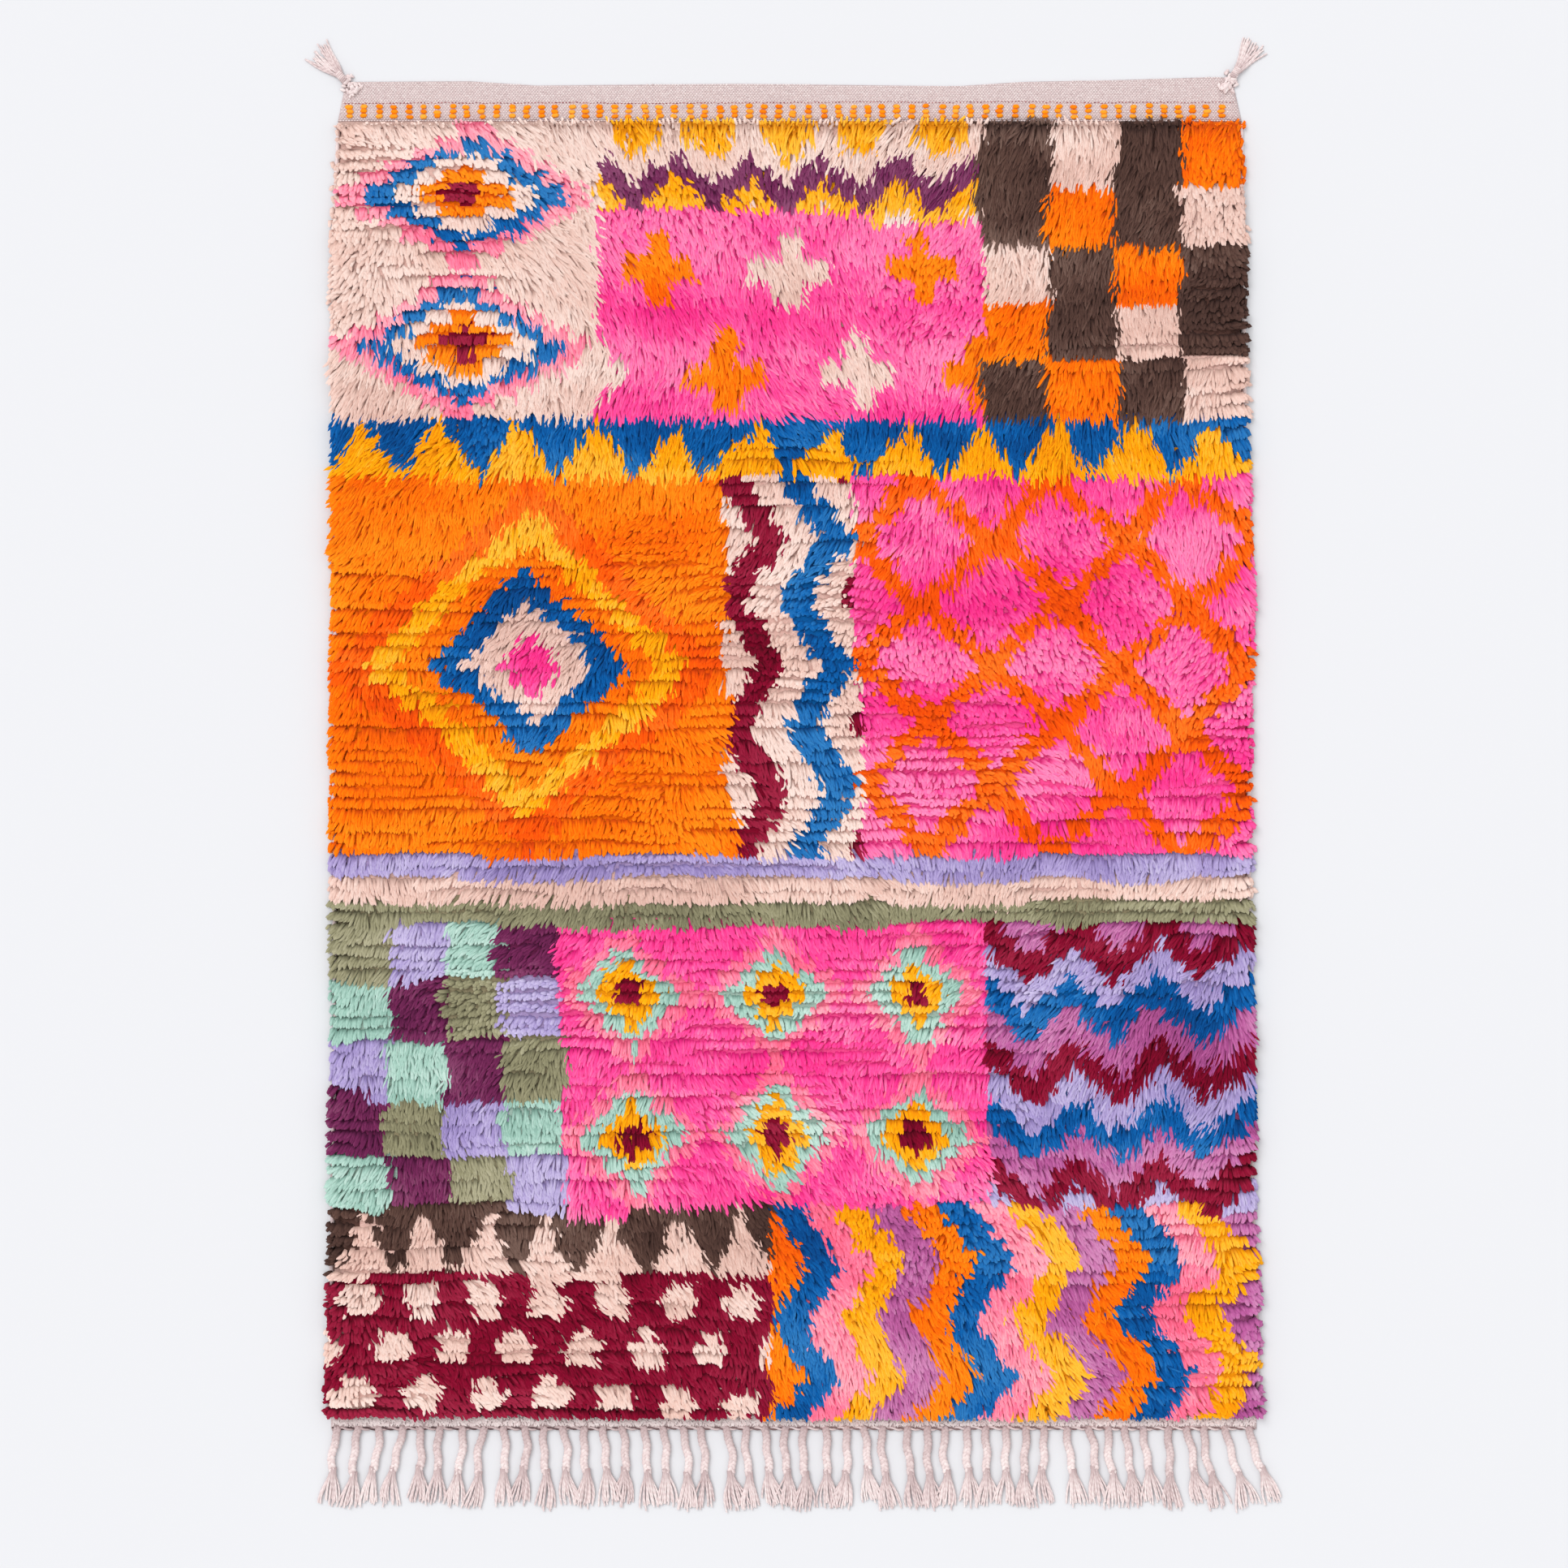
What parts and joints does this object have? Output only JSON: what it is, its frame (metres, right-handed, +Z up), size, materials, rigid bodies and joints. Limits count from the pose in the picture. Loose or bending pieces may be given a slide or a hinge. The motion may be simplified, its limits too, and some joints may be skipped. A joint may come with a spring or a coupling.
{
  "type": "shag rug",
  "caption": "Hand-knotted wool shag rug with a lumpy patterned pile, a flat-woven end band, knotted corner tassels and a braided fringe, lying flat.",
  "frame": {"origin": "middle of the pile field's underside, on the floor", "axes": "+Z up from the floor, +Y along the rug from the fringed end to the flat-woven end, +X across it"},
  "size_m": [1.5758, 2.3897, 0.029],
  "materials": {
    "pile_wool": "thick knotted wool pile in many dyed colours, matte",
    "band_wool": "flat-woven undyed wool, matte, with a row of orange wefts",
    "tassel_wool": "twisted undyed warp yarn, matte",
    "fringe_wool": "braided undyed warp yarn, matte"
  },
  "bodies": {
    "root": {"pile_field": "pile_wool", "end_band": "band_wool", "corner_tassel_left": "tassel_wool", "corner_tassel_right": "tassel_wool", "braided_fringe": "fringe_wool"}
  },
  "joints": []
}
